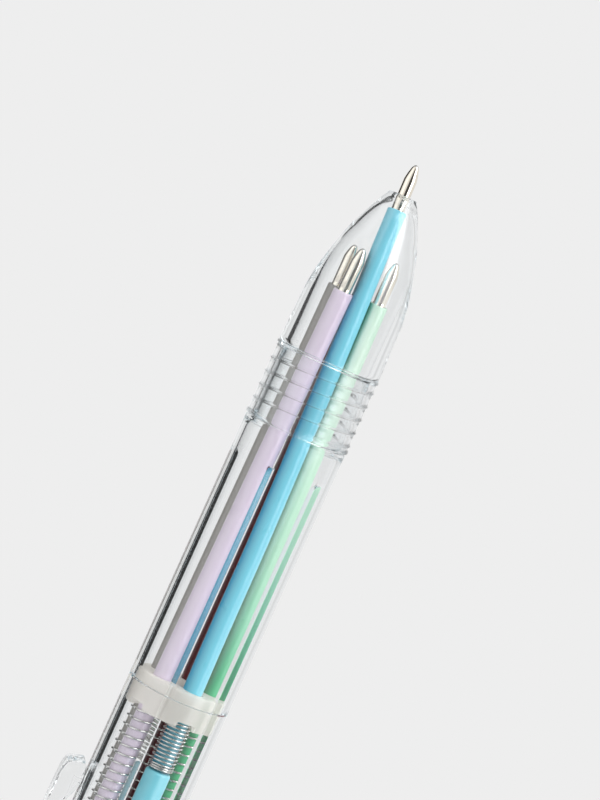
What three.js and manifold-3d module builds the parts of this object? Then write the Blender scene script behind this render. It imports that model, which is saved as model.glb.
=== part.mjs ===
// Multicolour click pen: a clear barrel around five spring-loaded refills on a common circle.
// Millimetres. The pen's axis is +Z, its writing end up, and the end cap's flat face is z = 0.
// "Front" is towards the writing end (+Z), "rear" towards the end cap.
// An azimuth is in degrees from -Y towards +X, so azimuth A stands at (sin A, -cos A).
import * as THREE from 'three';
import { mergeVertices } from 'three/addons/utils/BufferGeometryUtils.js';
import ManifoldModule from 'manifold-3d';

// ---- shared dimensions ----
const BARREL_R = 6.75;         // outside
const BORE_R = 6.04;
const NECK_BORE_R = 5.43;      // bore of the spigot and of the nose cone in front of it
const NOSE_FRONT_Z = 142.0;
const SHOULDER_Z = 119.4;      // where the nose cone's wide rear bore ends
const NOSE_REAR_Z = 109.6;
const SEAM_Z = 73.6;           // between front and rear barrel
const BARREL_REAR_Z = 13.5;
const JOINT_GAP = 0.02;        // kept by each part on its side of a joint
const CLIP_AZIMUTH = -81;
const CLIP_WIDTH = 4.4;
const SLIDER_CIRCLE_R = 4.1;   // circle that the sliders and refills stand on
const TUBE_END = 75.84;        // front end of the refill tube, from the slider's front face

// Guide ribs: azimuth, half width at the wall, half width of the crest,
// sideways shift of the crest, radius of the crest
const RIBS = [
  [-9.5, 0.42, 0.104, 0.28, 5.57],
  [55.6, 0.575, 0.13, 0, 5.16],
  [135, 0.575, 0.13, 0, 5.30],
  [-153, 0.575, 0.13, 0, 5.30],
  [-81.5, 0.42, 0.104, 0.28, 5.55],
];

// Refills: lean is the tilt towards the axis when retracted, in degrees
const REFILLS = [
  { name: 'blue', azimuth: 24.5, extended: true, lean: 0.90, color: 0x78c8e1 },
  { name: 'mint', azimuth: 99, extended: false, lean: 0.90, color: 0x8fdcbb },
  { name: 'red', azimuth: 171, extended: false, lean: 0.90, color: 0x8a2233 },
  { name: 'gray', azimuth: -117, extended: false, lean: 0.60, color: 0xa09d98 },
  { name: 'lavender', azimuth: -45, extended: false, lean: 1.15, color: 0xdacce2 },
];

// ---- materials ----
const CLEAR = { color: 0xe9eef0, roughness: 0.08, metalness: 0 };
const MILKY = { color: 0xe4e3e0, roughness: 0.45, metalness: 0 };
const TIP_STEEL = { color: 0xd9cfbf, roughness: 0.25, metalness: 1 };
const SPRING_STEEL = { color: 0xb9bbbd, roughness: 0.3, metalness: 1 };
const coloredPlastic = (color) => ({ color, roughness: 0.35, metalness: 0 });

// ---- helpers: conversion to and from manifold solids ----
const manifold = await ManifoldModule();
manifold.setup();
const radians = (degrees) => (degrees * Math.PI) / 180;

// Welds a geometry, drops collapsed triangles and turns the winding outwards
function solid(geometry) {
  let welded = geometry.clone();
  welded.deleteAttribute('normal');
  welded.deleteAttribute('uv');
  welded = mergeVertices(welded, 1e-5);
  const positions = welded.attributes.position.array;
  const indices = welded.index.array;
  const corner = (n) => new THREE.Vector3().fromArray(positions, 3 * n);
  const triangles = [];
  let volume = 0;
  for (let i = 0; i < indices.length; i += 3) {
    const [a, b, c] = indices.slice(i, i + 3);
    if (a === b || b === c || a === c) continue;
    triangles.push(a, b, c);
    volume += corner(a).dot(corner(b).cross(corner(c)));
  }
  if (volume < 0) {
    for (let i = 0; i < triangles.length; i += 3) {
      [triangles[i], triangles[i + 1]] = [triangles[i + 1], triangles[i]];
    }
  }
  return new manifold.Manifold(new manifold.Mesh({
    numProp: 3,
    vertProperties: new Float32Array(positions),
    triVerts: new Uint32Array(triangles),
  }));
}

function toGeometry(body) {
  const mesh = body.getMesh();
  const geometry = new THREE.BufferGeometry();
  const positions = new Float32Array(mesh.vertProperties);
  geometry.setAttribute('position', new THREE.BufferAttribute(positions, 3));
  geometry.setIndex(new THREE.BufferAttribute(new Uint32Array(mesh.triVerts), 1));
  geometry.computeVertexNormals();
  return geometry;
}

// ---- helpers: basic forms ----
// [radius, z] profile turned about Z, closed unless both its ends are on the axis
function turned(profile, segments) {
  const points = profile.map(([radius, z]) => new THREE.Vector2(radius, z));
  const onAxis = profile[0][0] === 0 && profile.at(-1)[0] === 0;
  if (!onAxis) points.push(points[0].clone());
  return new THREE.LatheGeometry(points, segments).rotateX(Math.PI / 2);
}

const turnedSolid = (profile, segments) => solid(turned(profile, segments));

// Upright cylinder whose centre line stands at an azimuth and a distance from the axis
function post(radius, z0, z1, segments, azimuth, distance) {
  const angle = radians(azimuth);
  const geometry = new THREE.CylinderGeometry(radius, radius, z1 - z0, segments);
  geometry.rotateX(Math.PI / 2);
  geometry.translate(distance * Math.sin(angle), -distance * Math.cos(angle), (z0 + z1) / 2);
  return solid(geometry);
}

// Box between two radial distances and two heights; shift moves it sideways
function radialBox(inner, outer, width, z0, z1, azimuth, shift = 0) {
  const geometry = new THREE.BoxGeometry(width, outer - inner, z1 - z0);
  geometry.translate(shift, -(inner + outer) / 2, (z0 + z1) / 2);
  geometry.rotateZ(radians(azimuth));
  return solid(geometry);
}

function polygon(points) {
  const shape = new THREE.Shape(points.map(([x, y]) => new THREE.Vector2(x, y)));
  shape.closePath();
  return shape;
}

function extruded(points, depth) {
  return new THREE.ExtrudeGeometry(polygon(points), { depth, steps: 1, bevelEnabled: false });
}

// [radial distance, z] outline made into a plate of the given width
function radialPlate(outline, width, azimuth) {
  const geometry = extruded(outline, width);
  geometry.translate(0, 0, -width / 2);
  // outline x -> -Y, outline y -> Z, depth -> X; this mirrors, and solid() mends the winding
  geometry.applyMatrix4(new THREE.Matrix4().set(
    0, 0, 1, 0,
    -1, 0, 0, 0,
    0, 1, 0, 0,
    0, 0, 0, 1,
  ));
  geometry.rotateZ(radians(azimuth));
  return solid(geometry);
}

// Tapered ridge on the bore; grow widens it into the groove that takes it
function guideRib([azimuth, foot, crest, shift, crestR], z0, z1, grow = 0) {
  const rootR = 6.45;          // buried in the barrel wall
  const wallR = Math.sqrt(BORE_R * BORE_R - foot * foot);
  const geometry = extruded([
    [-foot - grow, -rootR],
    [-foot - grow, -wallR],
    [shift - crest - grow, grow - crestR],
    [shift + crest + grow, grow - crestR],
    [foot + grow, -wallR],
    [foot + grow, -rootR],
  ], z1 - z0);
  geometry.translate(0, 0, z0);
  geometry.rotateZ(radians(azimuth));
  return solid(geometry);
}

// ---- nose cone: bullet shell with a threaded collar ----
// [radius, z] from the tip rearwards
const NOSE_OUTSIDE = [
  [1.62, NOSE_FRONT_Z], [1.82, 141.88], [2.50, 140.74], [3.12, 139.49], [3.66, 138.24],
  [4.20, 136.99], [4.66, 135.74], [5.05, 134.49], [5.37, 133.24], [5.71, 131.99],
  [6.02, 130.74], [6.26, 129.49], [6.44, 128.24], [6.55, 126.99], [6.60, 125.1],
  [6.64, 123.24], [6.69, 121.99], [BARREL_R, 120.74], [BARREL_R, SHOULDER_Z + 0.05],
];
// [radius, z] from the rear edge to the tip
const NOSE_INSIDE = [
  [6.06, NOSE_REAR_Z], [6.06, SHOULDER_Z], [NECK_BORE_R, SHOULDER_Z], [NECK_BORE_R, 126.9],
  [5.46, 129.4], [5.25, 132.0], [4.69, 134.4], [3.85, 136.6], [3.12, 138.4],
  [2.40, 139.6], [1.72, 140.6], [1.12, 141.3], [1.12, NOSE_FRONT_Z],
];

function noseCone() {
  const collarR = 6.72;
  const rimR = 6.92;
  const pitch = 1.8;
  const ridgeHeight = 0.19;
  const ridgeSharpness = 0.7;  // exponent on the ridge's cosine; lower is fuller
  const frontRim = [
    [rimR, SHOULDER_Z - 0.05], [rimR, SHOULDER_Z - 0.3], [collarR, SHOULDER_Z - 0.45],
  ];
  const threadRows = [];
  for (let z = SHOULDER_Z - 0.9; z > NOSE_REAR_Z + 0.8; z -= pitch / 3) {
    threadRows.push([collarR, z]);
  }
  const rearRim = [
    [collarR, NOSE_REAR_Z + 0.5], [rimR, NOSE_REAR_Z + 0.4],
    [rimR, NOSE_REAR_Z + 0.1], [6.8, NOSE_REAR_Z],
  ];
  const profile = [...NOSE_OUTSIDE, ...frontRim, ...threadRows, ...rearRim, ...NOSE_INSIDE];
  const geometry = turned(profile, 28);

  // Lift the rows between the two rims where the right-handed ridge passes
  const low = threadRows.at(-1)[1] - 0.01;
  const high = threadRows[0][1] + 0.01;
  const vertices = geometry.attributes.position;
  for (let i = 0; i < vertices.count; i++) {
    const x = vertices.getX(i);
    const y = vertices.getY(i);
    const z = vertices.getZ(i);
    if (z < low || z > high) continue;
    const radius = Math.hypot(x, y);
    const phase = (z - NOSE_REAR_Z) / pitch - Math.atan2(y, x) / (2 * Math.PI);
    const wave = Math.max(0, Math.cos(2 * Math.PI * phase));
    const scale = (radius + ridgeHeight * wave ** ridgeSharpness) / radius;
    vertices.setXY(i, x * scale, y * scale);
  }
  return solid(geometry);
}

// ---- front barrel: spigot for the nose cone, bore with five guide ribs ----
function frontBarrel() {
  const spigotR = 5.93;
  const spigotEndZ = SHOULDER_Z - 0.3;
  const stepZ = NOSE_REAR_Z - 0.15;
  const rearZ = SEAM_Z + JOINT_GAP;
  const ribsFrontZ = 104.9;
  let body = turnedSolid([
    [BARREL_R, rearZ], [BARREL_R, stepZ], [spigotR, stepZ], [spigotR, spigotEndZ],
    [NECK_BORE_R, spigotEndZ], [NECK_BORE_R, NOSE_REAR_Z - 0.6],
    [BORE_R, NOSE_REAR_Z - 1.5], [BORE_R, rearZ],
  ], 32);
  for (const rib of RIBS) body = body.add(guideRib(rib, rearZ, ribsFrontZ));
  return body;
}

// ---- rear barrel: same bore and ribs, five slots for the buttons ----
function rearBarrel() {
  const rearZ = BARREL_REAR_Z + JOINT_GAP;
  const frontZ = SEAM_Z - JOINT_GAP;
  const ribsRearZ = 17.2;
  const slot = { width: 2.9, z0: 20.6, z1: 44.0 };
  let body = turnedSolid([
    [BARREL_R, rearZ], [BARREL_R, frontZ], [BORE_R, frontZ], [BORE_R, rearZ],
  ], 32);
  for (const rib of RIBS) body = body.add(guideRib(rib, ribsRearZ, frontZ));
  for (const { azimuth } of REFILLS) {
    body = body.subtract(radialBox(5.0, 8.0, slot.width, slot.z0, slot.z1, azimuth));
  }
  return body;
}

// ---- spring guide: frosted plug across the seam, a stepped hole for each refill and spring ----
function springGuide() {
  const rearZ = 70.5;
  const frontZ = 75.0;
  const grooveClearance = 0.12;
  const springHoleR = 1.77;
  const refillHoleR = 1.42;
  let body = turnedSolid([
    [0, rearZ], [5.9, rearZ], [5.95, rearZ + 0.1],
    [5.95, frontZ - 0.2], [5.7, frontZ], [0, frontZ],
  ], 32);
  for (const rib of RIBS) {
    body = body.subtract(guideRib(rib, rearZ - 1, frontZ + 1, grooveClearance));
  }
  for (const { azimuth } of REFILLS) {
    body = body.subtract(post(springHoleR, rearZ - 1, frontZ - 0.4, 16, azimuth, 3.79));
    // two overlapping holes leave the refill room to lean
    for (const distance of [3.80, 3.57]) {
      body = body.subtract(post(refillHoleR, rearZ, frontZ + 1, 14, azimuth, distance));
    }
  }
  return body;
}

// ---- latch core: post in the end cap whose fins part the sliders ----
function latchCore() {
  const baseZ = 2.3;
  const finCount = 5;
  let body = turnedSolid([
    [0, baseZ], [2.0, baseZ], [2.0, 29.0], [2.2, 29.4], [2.2, 30.4],
    [1.5, 31.2], [1.5, 48.5], [1.0, 50.0], [0, 50.0],
  ], 24);
  // evenly spaced, the last one in line with the clip
  for (let i = 1; i <= finCount; i++) {
    const azimuth = CLIP_AZIMUTH + (i * 360) / finCount;
    body = body.add(radialBox(0.3, 4.7, 0.9, 18.5, 48.0, azimuth));
  }
  return body.add(turnedSolid([[0, baseZ], [4.5, baseZ], [4.5, 3.6], [0, 3.6]], 30));
}

// ---- end cap: flat rear face, stub in the rear barrel, two cheeks for the clip ----
function endCap() {
  const faceR = 5.95;
  const stub = { radius: 5.94, bore: 4.9, frontZ: 16.8 };
  const floorZ = 2.0;
  const rimZ = BARREL_REAR_Z - JOINT_GAP;
  return turnedSolid([
    [0, 0], [faceR, 0], [6.6, 0.55], [BARREL_R, 1.1], [BARREL_R, rimZ],
    [stub.radius, rimZ], [stub.radius, stub.frontZ], [stub.bore, stub.frontZ],
    [stub.bore, floorZ], [0, floorZ],
  ], 32)
    .add(radialBox(5.9, 8.6, CLIP_WIDTH, 2.2, 10.2, CLIP_AZIMUTH))
    .subtract(radialBox(6.9, 9.2, 3.0, 1.5, 11.0, CLIP_AZIMUTH));
}

// ---- clip: tongue between the cheeks, long arm, bulged end with a foot over the barrel ----
// [radial distance, z]
const CLIP_OUTLINE = [
  [7.3, 2.6], [8.9, 2.6], [9.4, 3.0], [9.75, 3.8], [9.85, 6.0], [9.85, 56.5], [9.75, 59.3],
  [9.45, 60.3], [9.0, 60.75], [7.3, 61.1], [7.1, 60.6], [6.92, 59.4], [6.92, 58.0],
  [7.35, 56.6], [8.0, 55.2], [8.35, 52.0], [8.35, 14.0], [8.1, 11.6], [7.3, 10.6],
];

function clip() {
  let body = radialPlate(CLIP_OUTLINE, CLIP_WIDTH, CLIP_AZIMUTH);
  // thin the tongue where the cheeks stand
  for (const side of [-1, 1]) {
    body = body.subtract(radialBox(6.7, 8.9, 1.2, -1.5, 11.5, CLIP_AZIMUTH, side * 1.75));
  }
  return body;
}

// ---- slider: socket with a peg, flat tail with a button, at azimuth 0 ----
// [radial distance, z from the slider's front face]
const BUTTON_OUTLINE = [
  [4.6, -31], [7.6, -31], [8.35, -30.4], [8.75, -29.2], [8.75, -28.2], [8.45, -27.8],
  [8.75, -27.4], [8.75, -26.4], [8.45, -26.0], [8.75, -25.6], [8.75, -24.6], [8.45, -24.2],
  [8.6, -23.4], [8.1, -21.6], [7.5, -21], [4.6, -21],
];

function sliderBody(frontZ) {
  const socketR = 1.6;
  const pegR = 0.62;
  const socketRearZ = frontZ - 14;
  const tailRearZ = frontZ - 33.8;
  const socket = turnedSolid([
    [0, socketRearZ], [socketR, socketRearZ], [socketR, frontZ - 0.35], [1.35, frontZ],
    [pegR, frontZ], [pegR, frontZ + 3.0], [0.4, frontZ + 3.3], [0, frontZ + 3.3],
  ], 20).translate([0, -SLIDER_CIRCLE_R, 0]);
  const tail = radialBox(3.0, 5.1, 2.2, tailRearZ, frontZ - 13.5, 0);
  const outline = BUTTON_OUTLINE.map(([distance, z]) => [distance, frontZ + z]);
  const button = radialPlate(outline, 2.4, 0);
  // hook on the tail that faces the latch core
  const hook = radialBox(2.35, 3.4, 1.8, tailRearZ, frontZ - 32.2, 0);
  return socket.add(tail).add(button).add(hook);
}

// ---- refill parts: z from the slider's front face, along the refill ----
function refillTube() {
  const radius = 1.25;
  const bore = 0.90;
  const rearZ = 0.12;
  return turned([
    [radius, rearZ], [radius, TUBE_END - 0.3], [radius - 0.2, TUBE_END],
    [bore, TUBE_END], [bore, rearZ],
  ], 14);
}

function writingTip() {
  const radius = 0.845;
  const rearZ = TUBE_END - 3.0;
  return turned([
    [0, rearZ], [radius, rearZ], [radius, 79.9], [0.80, 80.15], [0.64, 80.85],
    [0.48, 81.45], [0.37, 81.66], [0.36, 81.15], [0, 81.15],
  ], 14);
}

function writingBall() {
  const radius = 0.34;
  const frontZ = 81.905;
  const geometry = new THREE.SphereGeometry(radius, 8, 6);
  geometry.rotateX(Math.PI / 2);
  return geometry.translate(0, 0, frontZ - radius);
}

class Helix extends THREE.Curve {
  constructor(radius, z0, z1, turns) {
    super();
    Object.assign(this, { radius, z0, z1, turns });
    this.arcLengthDivisions = Math.ceil(turns * 60);
  }

  getPoint(t, target = new THREE.Vector3()) {
    const angle = 2 * Math.PI * this.turns * t;
    const z = this.z0 + (this.z1 - this.z0) * t;
    return target.set(this.radius * Math.cos(angle), this.radius * Math.sin(angle), z);
  }
}

function returnSpring(frontZ) {
  const coilR = 1.47;
  const wireR = 0.125;
  const wireSides = 3;
  const turns = 11;
  const stepsPerTurn = 9;
  const rearZ = 0.30;
  const section = [];
  for (let i = 0; i < wireSides; i++) {
    const angle = (2 * Math.PI * i) / wireSides;
    section.push([wireR * Math.cos(angle), wireR * Math.sin(angle)]);
  }
  return new THREE.ExtrudeGeometry(polygon(section), {
    steps: turns * stepsPerTurn,
    bevelEnabled: false,
    extrudePath: new Helix(coilR, rearZ, frontZ, turns),
  });
}

// ---- assembly ----
const group = new THREE.Group();

function add(name, geometry, finish, parent = group) {
  const mesh = new THREE.Mesh(geometry, new THREE.MeshStandardMaterial(finish));
  mesh.name = name;
  parent.add(mesh);
}

// One slider with its refill and return spring
function addRefill({ name, azimuth, extended, lean, color }) {
  const retractedZ = 52.1;     // slider front face
  const travel = 12.2;
  const extendedLean = 2.904;
  const springSeatZ = 74.5;
  const frontZ = retractedZ + (extended ? travel : 0);
  const tilt = radians(extended ? extendedLean : lean);
  const paint = coloredPlastic(color);

  const slider = new THREE.Group();
  slider.rotation.z = radians(azimuth);
  group.add(slider);
  add(`slider_${name}`, toGeometry(sliderBody(frontZ)), paint, slider);

  // local +Z runs from the slider's front face to the ball, leaning in towards the axis
  const refill = new THREE.Group();
  refill.position.set(0, -SLIDER_CIRCLE_R, frontZ);
  refill.rotation.x = -tilt;
  slider.add(refill);
  const springFrontZ = (springSeatZ - frontZ) / Math.cos(tilt) - 0.25;
  add(`refill_tube_${name}`, refillTube(), paint, refill);
  add(`writing_tip_${name}`, writingTip(), TIP_STEEL, refill);
  add(`writing_ball_${name}`, writingBall(), TIP_STEEL, refill);
  add(`return_spring_${name}`, returnSpring(springFrontZ), SPRING_STEEL, refill);
}

add('nose_cone', toGeometry(noseCone()), CLEAR);
add('front_barrel', toGeometry(frontBarrel()), CLEAR);
add('rear_barrel', toGeometry(rearBarrel()), CLEAR);
add('spring_guide', toGeometry(springGuide()), MILKY);
add('latch_core', toGeometry(latchCore()), MILKY);
add('end_cap', toGeometry(endCap()), CLEAR);
add('clip', toGeometry(clip()), CLEAR);
REFILLS.forEach(addRefill);

export default group;
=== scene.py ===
"""A clear five-colour ballpoint pen, standing on its end cap with the writing end up.

The pen's axis is Z and its end cap starts at Z = 0. "Front" is the writing end (+Z) and "rear" is
the end cap. Azimuths are in degrees: 0 faces the camera (-Y) and 90 faces +X, on the right.
Parts are drawn in millimetres. Many are drawn at azimuth 0 in (across, reach, z), where across
runs along +X and reach is the distance from the axis towards -Y, and are then turned to place.
The blue refill is pushed forward; the other four are drawn back.
"""
import math
from collections import namedtuple
import bpy
import bmesh
import numpy as np
from mathutils import Vector, Matrix

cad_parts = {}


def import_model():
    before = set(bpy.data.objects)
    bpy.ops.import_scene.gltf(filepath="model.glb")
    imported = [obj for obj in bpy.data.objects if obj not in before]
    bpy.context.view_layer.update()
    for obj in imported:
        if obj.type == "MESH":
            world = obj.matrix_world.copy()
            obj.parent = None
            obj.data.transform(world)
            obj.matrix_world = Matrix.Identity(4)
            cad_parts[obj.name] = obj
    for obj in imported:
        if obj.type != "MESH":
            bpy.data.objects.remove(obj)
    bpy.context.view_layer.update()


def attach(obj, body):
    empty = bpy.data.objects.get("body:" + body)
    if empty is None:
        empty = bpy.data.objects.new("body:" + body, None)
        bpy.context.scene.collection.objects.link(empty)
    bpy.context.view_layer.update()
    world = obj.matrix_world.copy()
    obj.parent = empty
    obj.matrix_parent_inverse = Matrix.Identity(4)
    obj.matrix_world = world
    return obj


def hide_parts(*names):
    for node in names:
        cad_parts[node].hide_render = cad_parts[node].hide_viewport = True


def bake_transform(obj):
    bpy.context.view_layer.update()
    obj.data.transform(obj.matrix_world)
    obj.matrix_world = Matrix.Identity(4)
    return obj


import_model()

MM = 0.001
rad = math.radians

# ------------------------------------------------------------------ shared dimensions, in mm
OUTER_R, INNER_R = 6.75, 6.04      # barrel wall
NOSE_Z = 142.0                     # front end of the nose cone
RING_Z = 119.4                     # step between the cone and its threaded collar
COLLAR_Z = 109.6                   # rear end of the collar
RIB_END_Z = 104.9                  # front end of the ribs in the bore
SEAM_Z = 73.6                      # joint of the front and rear barrels
REAR_Z = 13.5                      # joint of the rear barrel and the end cap
JOINT_GAP = 0.03                   # each part stands back this far from a joint
GUIDE_Z0, GUIDE_Z1 = 70.5, 75.0    # spring guide
PITCH = 1.8                        # pitch of the threads and of the collar's ridge
COLLAR_R = 6.71                    # collar between the turns of its ridge
NOSE_BORE_R = 6.08                 # threaded bore of the collar
SPIGOT_R = 5.90                    # front barrel's spigot, which the collar goes over

SLIDER_R = 4.1                     # centre line of the sliders' plungers
SLIDER_Z = 52.1                    # front face of a slider that is drawn back
TRAVEL = 12.2                      # how far a slider moves forward
TILT_OUT = 2.904                   # lean of an advanced refill, in degrees
TUBE_END, TIP_END, BALL_R = 75.84, 81.905, 0.34    # along a refill from its slider's face
SPRING_SEAT_Z = 74.45              # front end of the springs

CLIP_AZ, CLIP_WIDTH = -81, 4.4

# tilt_back: lean in degrees when drawn back. coil_r: spring's radius. coil_phase: where its wire
# starts, in degrees. coil_front: distance of the coil's front end from the axis, where it is fixed.
Unit = namedtuple("Unit", "name az out tilt_back coil_r coil_phase coil_front")
UNITS = [
    Unit("blue", 24.5, True, 0.90, 1.53, 10, 3.70),
    Unit("mint", 99, False, 0.90, 1.475, 140, None),
    Unit("red", 171, False, 0.90, 1.475, 60, None),
    Unit("gray", -117, False, 0.60, 1.53, 200, None),
    Unit("lavender", -45, False, 1.15, 1.475, 300, None),
]

# Ribs along the barrels' bore: azimuth, half width at the wall, half width of the crest,
# sideways shift of the crest, distance of the crest from the axis, rounding
RIBS = [
    (-9.5, 0.42, 0.104, 0.28, 5.505, 0.03),
    (55.6, 0.575, 0.13, 0.0, 5.26, 0.11),
    (135, 0.575, 0.13, 0.0, 5.30, 0.1),
    (-153, 0.575, 0.13, 0.0, 5.30, 0.1),
    (-81.5, 0.42, 0.104, 0.28, 5.55, 0.03),
]


def place(az, across, reach, z=0.0):
    """A point drawn at azimuth 0, turned to azimuth az."""
    cos, sin = math.cos(rad(az)), math.sin(rad(az))
    return (across * cos + reach * sin, across * sin - reach * cos, z)


def slider_front(unit):
    """Z of the front face of the unit's slider."""
    return SLIDER_Z + (TRAVEL if unit.out else 0)


# ------------------------------------------------------------------ mesh helpers
def shade(mesh, angle):
    """Smooth shading, with edges sharper than the angle kept sharp."""
    mesh.shade_smooth()
    mesh.set_sharp_from_angle(angle=rad(angle))


def link_object(name, mesh):
    obj = bpy.data.objects.new(name, mesh)
    bpy.context.scene.collection.objects.link(obj)
    return obj


def make_object(name, verts, faces, sharp=35.0, smooth=True):
    """A cleaned mesh object from points in mm."""
    mesh = bpy.data.meshes.new(name)
    mesh.from_pydata([tuple(float(c) * MM for c in v) for v in verts], [], faces)
    mesh.validate()
    work = bmesh.new()
    work.from_mesh(mesh)
    bmesh.ops.remove_doubles(work, verts=work.verts, dist=1e-7)
    bmesh.ops.dissolve_degenerate(work, edges=work.edges, dist=1e-8)
    bmesh.ops.recalc_face_normals(work, faces=work.faces)
    work.to_mesh(mesh)
    work.free()
    obj = link_object(name, mesh)
    if smooth:
        shade(mesh, sharp)
    return obj


def skin(rings, closed=False):
    """Quads between successive rings of equal count. closed joins the last ring to the first;
    otherwise both ends are capped."""
    size, count = len(rings[0]), len(rings)
    faces = []
    for i in range(count if closed else count - 1):
        low, high = i * size, ((i + 1) % count) * size
        for j in range(size):
            k = (j + 1) % size
            faces.append((low + j, low + k, high + k, high + j))
    if not closed:
        faces.append(tuple(range(size))[::-1])
        faces.append(tuple(range((count - 1) * size, count * size)))
    return np.concatenate(rings), faces


def uncapped(verts, faces):
    """A skin without its two end caps."""
    return verts, faces[:-2]


def revolve(profile, segments):
    """Closed (radius, z) profile turned about Z. One that starts and ends on the axis is closed
    by the axis."""
    on_axis = profile[0][0] == 0 and profile[-1][0] == 0
    turn_by = np.arange(segments) * 2 * math.pi / segments
    rings = [np.stack([radius * np.cos(turn_by), radius * np.sin(turn_by),
                       np.full(segments, z)], 1) for radius, z in profile]
    return uncapped(*skin(rings)) if on_axis else skin(rings, closed=True)


def lathe(name, profile, segments, sharp=35.0):
    return make_object(name, *revolve(profile, segments), sharp)


def smooth_profile(points, steps):
    """Catmull-Rom curve through (radius, z) points."""
    pts = np.array(points, float)
    pts = np.concatenate([[2 * pts[0] - pts[1]], pts, [2 * pts[-1] - pts[-2]]])
    curve = []
    for i in range(1, len(pts) - 2):
        before, start, end, after = pts[i - 1:i + 3]
        for t in np.arange(steps) / steps:
            const = 2 * start
            linear = end - before
            square = 2 * before - 5 * start + 4 * end - after
            cube = -before + 3 * start - 3 * end + after
            curve.append(tuple(0.5 * (const + linear * t + square * t * t + cube * t ** 3)))
    curve.append(tuple(pts[-2]))
    return curve


def fillet(points, radii, steps):
    """Rounds the corners of a closed polygon, one radius for each corner. A zero radius and an
    almost straight corner stay as they are."""
    rounded = []
    count = len(points)
    for i, radius in enumerate(radii):
        corner, before, after = (np.array(points[k], float) for k in (i, i - 1, (i + 1) % count))
        if radius <= 0:
            rounded.append(tuple(corner))
            continue
        back, ahead = before - corner, after - corner
        back_len, ahead_len = np.linalg.norm(back), np.linalg.norm(ahead)
        back, ahead = back / back_len, ahead / ahead_len
        angle = math.acos(max(-1, min(1, float(back @ ahead))))
        if angle > math.pi - 0.05:
            rounded.append(tuple(corner))
            continue
        setback = min(radius / math.tan(angle / 2), 0.45 * back_len, 0.45 * ahead_len)
        arc_r = setback * math.tan(angle / 2)
        bisector = (back + ahead) / np.linalg.norm(back + ahead)
        centre = corner + bisector * arc_r / math.sin(angle / 2)
        start, end = corner + back * setback, corner + ahead * setback
        start_at = math.atan2(*(start - centre)[::-1])
        end_at = math.atan2(*(end - centre)[::-1])
        sweep = (end_at - start_at + math.pi) % (2 * math.pi) - math.pi
        for k in range(steps + 1):
            t = start_at + sweep * k / steps
            rounded.append((centre[0] + arc_r * math.cos(t), centre[1] + arc_r * math.sin(t)))
    return rounded


def stadium(radius, high, low, steps):
    """Loop with two round ends, centred at high and low on its second axis."""
    loop = []
    for start, centre in ((0, high), (math.pi, low)):
        for k in range(steps + 1):
            t = start + math.pi * k / steps
            loop.append((radius * math.cos(t), centre + radius * math.sin(t)))
    return loop


def radial_prism(loop, az, reach_0, reach_1):
    """(across, z) loop extruded away from the axis."""
    return skin([[place(az, across, reach, z) for across, z in loop]
                 for reach in (reach_0, reach_1)])


def axial_prism(loop, az, z_0, z_1):
    """(across, reach) loop extruded along Z."""
    return skin([[place(az, across, reach, z) for across, reach in loop] for z in (z_0, z_1)])


def turn(obj, az):
    obj.data.transform(Matrix.Rotation(rad(az), 4, "Z"))
    return obj


def boolean(obj, cutter, operation="DIFFERENCE"):
    """Applies a boolean with the cutter and removes the cutter."""
    modifier = obj.modifiers.new("cut", "BOOLEAN")
    modifier.operation, modifier.object, modifier.solver = operation, cutter, "EXACT"
    bpy.context.view_layer.update()
    depsgraph = bpy.context.evaluated_depsgraph_get()
    mesh = bpy.data.meshes.new_from_object(obj.evaluated_get(depsgraph))
    obj.modifiers.remove(modifier)
    old = obj.data
    obj.data = mesh
    mesh.name = old.name
    bpy.data.meshes.remove(old)
    bpy.data.objects.remove(cutter)


def cut_with(obj, name, solids):
    """Cuts several (verts, faces) solids out of the object in one boolean."""
    verts, faces = [], []
    for solid_verts, solid_faces in solids:
        base = len(verts)
        verts.extend(solid_verts)
        faces.extend(tuple(base + k for k in face) for face in solid_faces)
    boolean(obj, make_object(name, verts, faces))


def add_thread(verts, base_r, span, height, half_width, fade, phase):
    """Lifts a right-handed helix outwards on the rows of radius base_r whose Z is in the span.
    It climbs as the angle grows, and fades in and out at both ends of the span."""
    radius = np.hypot(verts[:, 0], verts[:, 1])
    turns = np.arctan2(verts[:, 1], verts[:, 0]) / (2 * math.pi)
    z = verts[:, 2]
    z_lo, z_hi = span
    off = np.abs(((z - COLLAR_Z) / PITCH - turns + phase) % 1.0 - 0.5) * PITCH
    lift = height * (0.5 + 0.5 * np.cos(math.pi * np.clip(off / half_width, 0, 1)))
    lift = lift * np.clip((z - z_lo) / fade, 0, 1) * np.clip((z_hi - z) / fade, 0, 1)
    on_row = (np.abs(radius - base_r) < 0.005) & (z > z_lo) & (z < z_hi)
    scale = np.where(on_row, (radius + lift) / radius, 1.0)
    verts = verts.copy()
    verts[:, 0] *= scale
    verts[:, 1] *= scale
    return verts


# ------------------------------------------------------------------ shader helpers
# sockets of a Mix node that mixes colours
MIX_FACTOR, MIX_A, MIX_B, MIX_RESULT = 0, 6, 7, 2


def empty_tree(owner):
    """Node tree of a material or world, with its default nodes removed."""
    owner.use_nodes = True
    tree = owner.node_tree
    for node in list(tree.nodes):
        tree.nodes.remove(node)
    return tree


def new_material(name):
    material = bpy.data.materials.new(name)
    tree = empty_tree(material)
    return material, tree, tree.nodes.new("ShaderNodeOutputMaterial")


def feed(tree, socket, value):
    """Links a socket to an input, or sets the input to a plain value."""
    if isinstance(value, bpy.types.NodeSocket):
        tree.links.new(value, socket)
    else:
        socket.default_value = value


def add_node(tree, kind, inputs=None, **settings):
    node = tree.nodes.new(kind)
    for key, value in settings.items():
        setattr(node, key, value)
    for key, value in (inputs or {}).items():
        feed(tree, node.inputs[key], value)
    return node


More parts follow.
